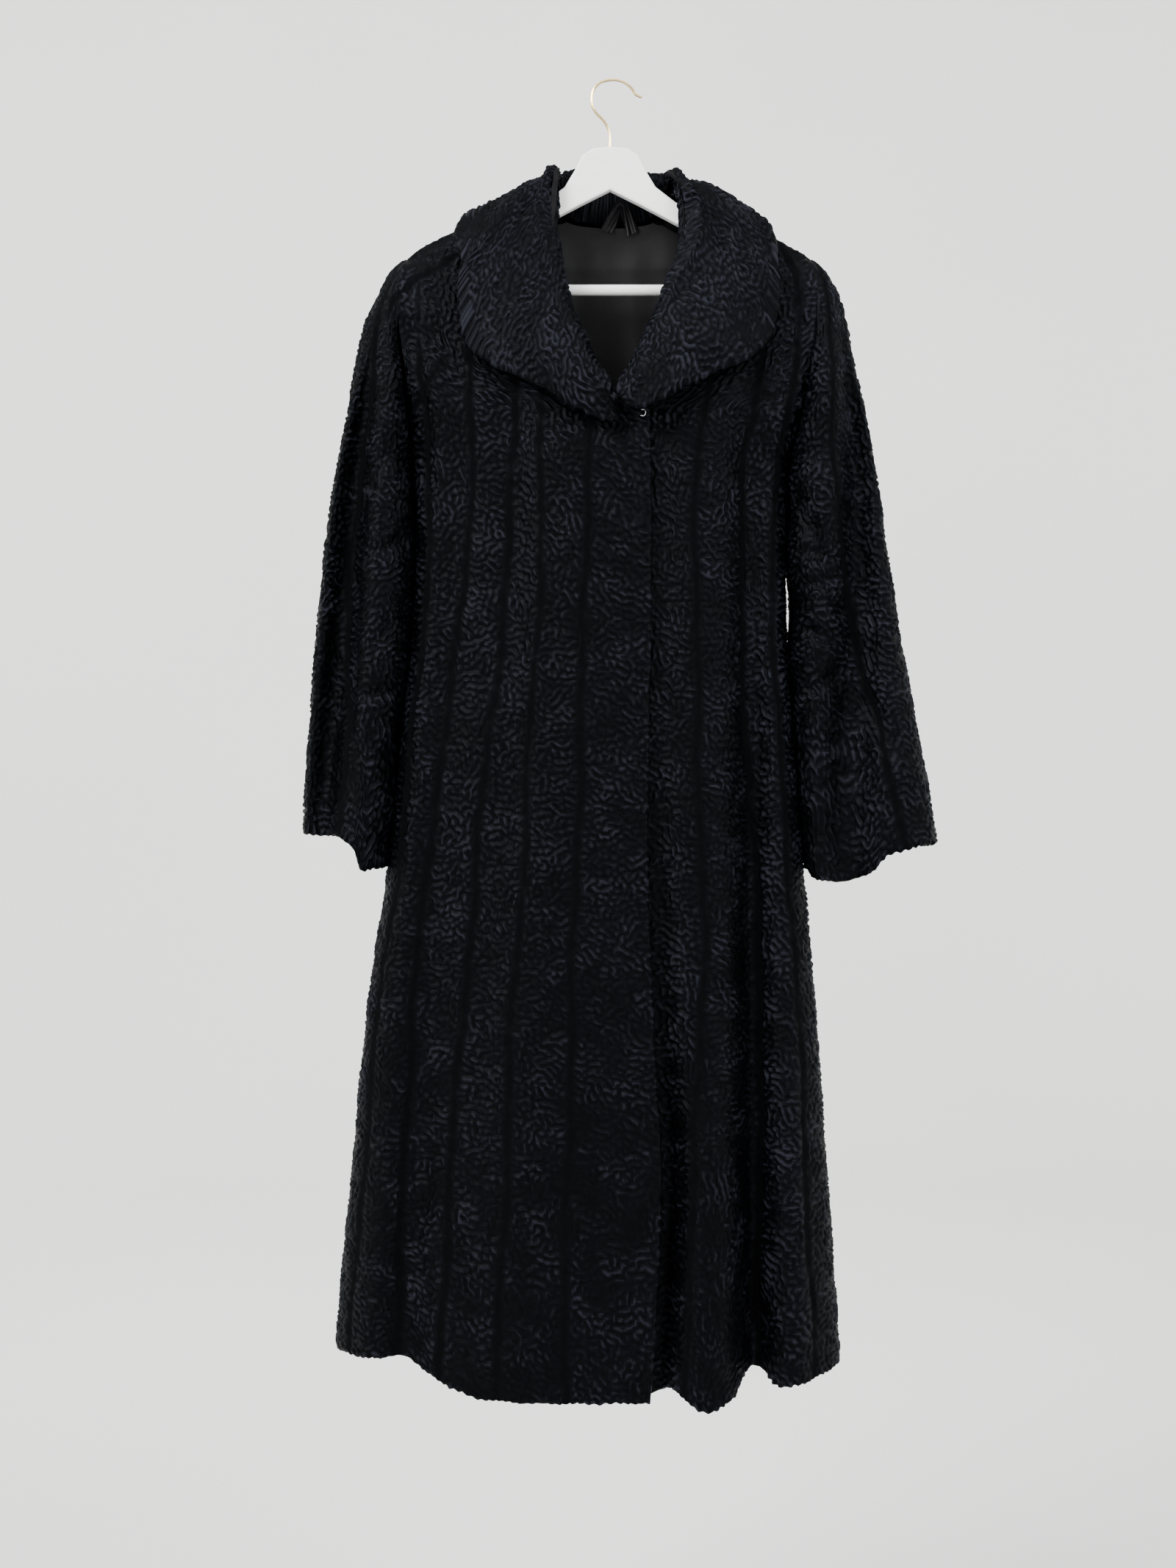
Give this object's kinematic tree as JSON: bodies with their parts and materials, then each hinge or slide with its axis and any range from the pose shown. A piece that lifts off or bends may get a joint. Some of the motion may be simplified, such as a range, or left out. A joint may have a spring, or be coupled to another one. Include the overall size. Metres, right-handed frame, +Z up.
{
  "type": "fur coat on a hanger",
  "caption": "Long A-line fur coat of vertical curled-fur strips with a wide round collar and wide sleeves, hung on a flat wooden hanger with a wire hook.",
  "frame": {"origin": "inside top of the hanger's hook, where a rail bears on it", "axes": "+Z up, the coat's front faces -Y, the wearer's left side lies towards +X"},
  "size_m": [0.656, 0.2135, 1.3505],
  "materials": {
    "fur": "near-black curled fur with a soft blue-grey sheen, parted by plain matt bands",
    "lining": "black satin",
    "ribbon": "black satin ribbon",
    "white_wood": "smooth white paint",
    "hook_metal": "polished thin wire"
  },
  "bodies": {
    "root": {"front_right": "fur", "front_left": "fur", "back": "fur", "sleeve_right_front": "fur", "sleeve_right_back": "fur", "sleeve_left_front": "fur", "sleeve_left_back": "fur", "collar": "fur", "back_lining": "lining", "hanging_loop": "ribbon", "hanger_wood": "white_wood", "hanger_bar": "white_wood", "hanger_hook": "hook_metal"}
  },
  "joints": []
}
